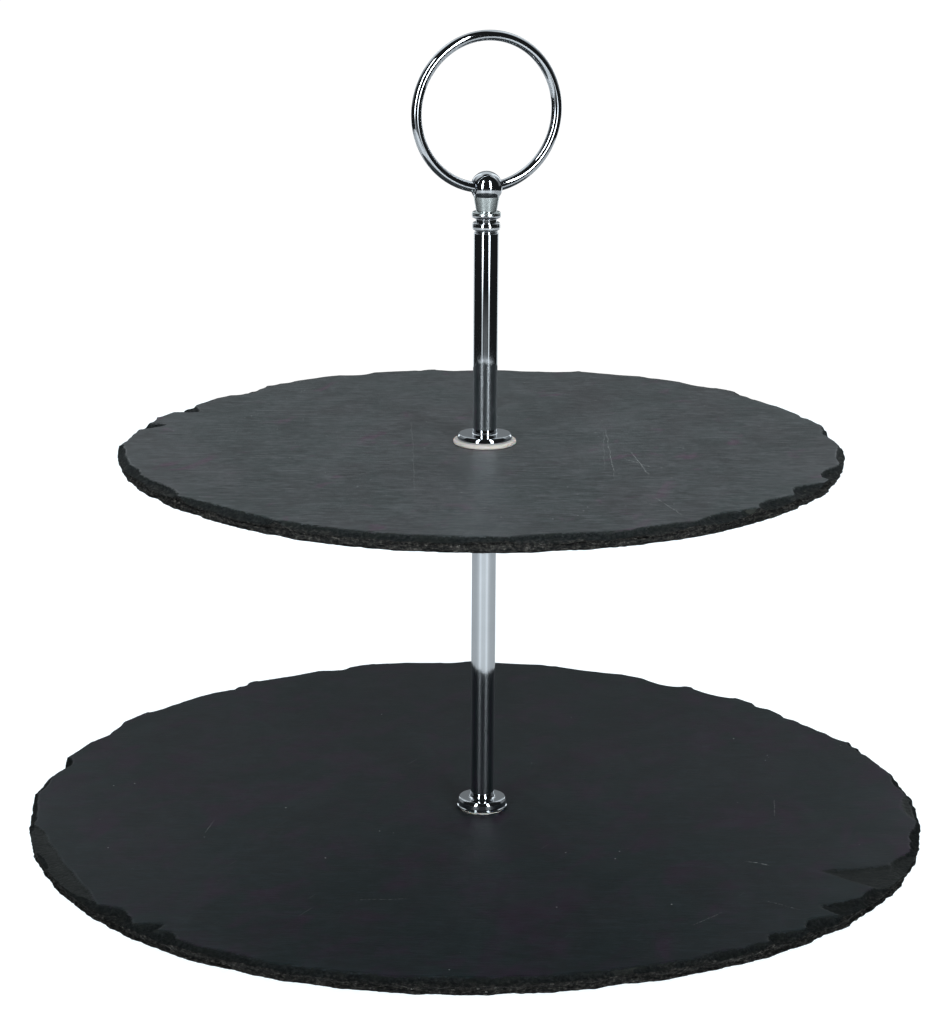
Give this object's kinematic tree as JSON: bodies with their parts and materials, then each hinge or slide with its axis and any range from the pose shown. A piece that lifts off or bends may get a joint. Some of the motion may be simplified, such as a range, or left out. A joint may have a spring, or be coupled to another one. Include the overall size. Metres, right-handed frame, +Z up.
{
  "type": "tiered cake stand",
  "caption": "Tiered serving stand: round slate plates on a chrome centre post that screws together, with a swinging ring handle on top.",
  "frame": {"origin": "on the centre post's axis, at the level of the surface that the feet stand on", "axes": "+Z up along the post, X along the axis that the ring handle swings about, and +Y towards the side where the lower plate reaches furthest from the post"},
  "size_m": [0.2979, 0.3012, 0.2709],
  "materials": {
    "polished_chrome": "polished",
    "cast_chrome": "gloss",
    "zinc_steel": "satin",
    "brass": "satin",
    "cream_plastic": "satin",
    "slate": "satin",
    "dark_slate": "satin",
    "black_rubber": "matte"
  },
  "bodies": {
    "base": {"lower_plate": "dark_slate", "foot_1": "black_rubber", "foot_2": "black_rubber", "foot_3": "black_rubber", "foot_4": "black_rubber"},
    "lower_post": {"base_screw": "zinc_steel", "base_metal_washer": "zinc_steel", "base_soft_washer": "cream_plastic", "lower_soft_washer": "cream_plastic", "lower_flange": "polished_chrome", "lower_bottom_insert": "brass", "lower_post_tube": "polished_chrome", "lower_top_insert": "brass", "joining_stud": "zinc_steel", "under_metal_washer": "zinc_steel", "under_soft_washer": "cream_plastic"},
    "upper_tier": {"upper_plate": "slate"},
    "clamp_washer": {"upper_soft_washer": "cream_plastic"},
    "upper_post": {"upper_flange": "polished_chrome", "upper_post_insert": "brass", "upper_post_tube": "polished_chrome", "post_ferrule": "polished_chrome", "handle_stud": "zinc_steel", "finial": "cast_chrome"},
    "ring": {"ring_handle": "polished_chrome"}
  },
  "joints": [
    {"name": "post_turn", "type": "hinge", "parent": "base", "child": "lower_post", "pos_m": [0, 0, 0.009], "axis": [0, 0, 1], "continuous": true},
    {"name": "upper_tier_turn", "type": "hinge", "parent": "lower_post", "child": "upper_tier", "pos_m": [0, 0, 0.1314], "axis": [0, 0, 1], "continuous": true},
    {"name": "upper_post_unscrew", "type": "hinge", "parent": "lower_post", "child": "clamp_washer", "pos_m": [0, 0, 0.1364], "axis": [0, 0, 1], "range_deg": [0, 3601]},
    {"name": "upper_post_lift", "type": "slide", "parent": "clamp_washer", "child": "upper_post", "axis": [0, 0, 1], "range_m": [0, 0.008]},
    {"name": "ring_swing", "type": "hinge", "parent": "upper_post", "child": "ring", "pos_m": [0, 0, 0.2209], "axis": [1, 0, 0], "range_deg": [-172, 172]}
  ],
  "couplings": [
    {"joint": "upper_post_unscrew", "follows": "upper_post_lift", "rad_per_m": 7854}
  ]
}
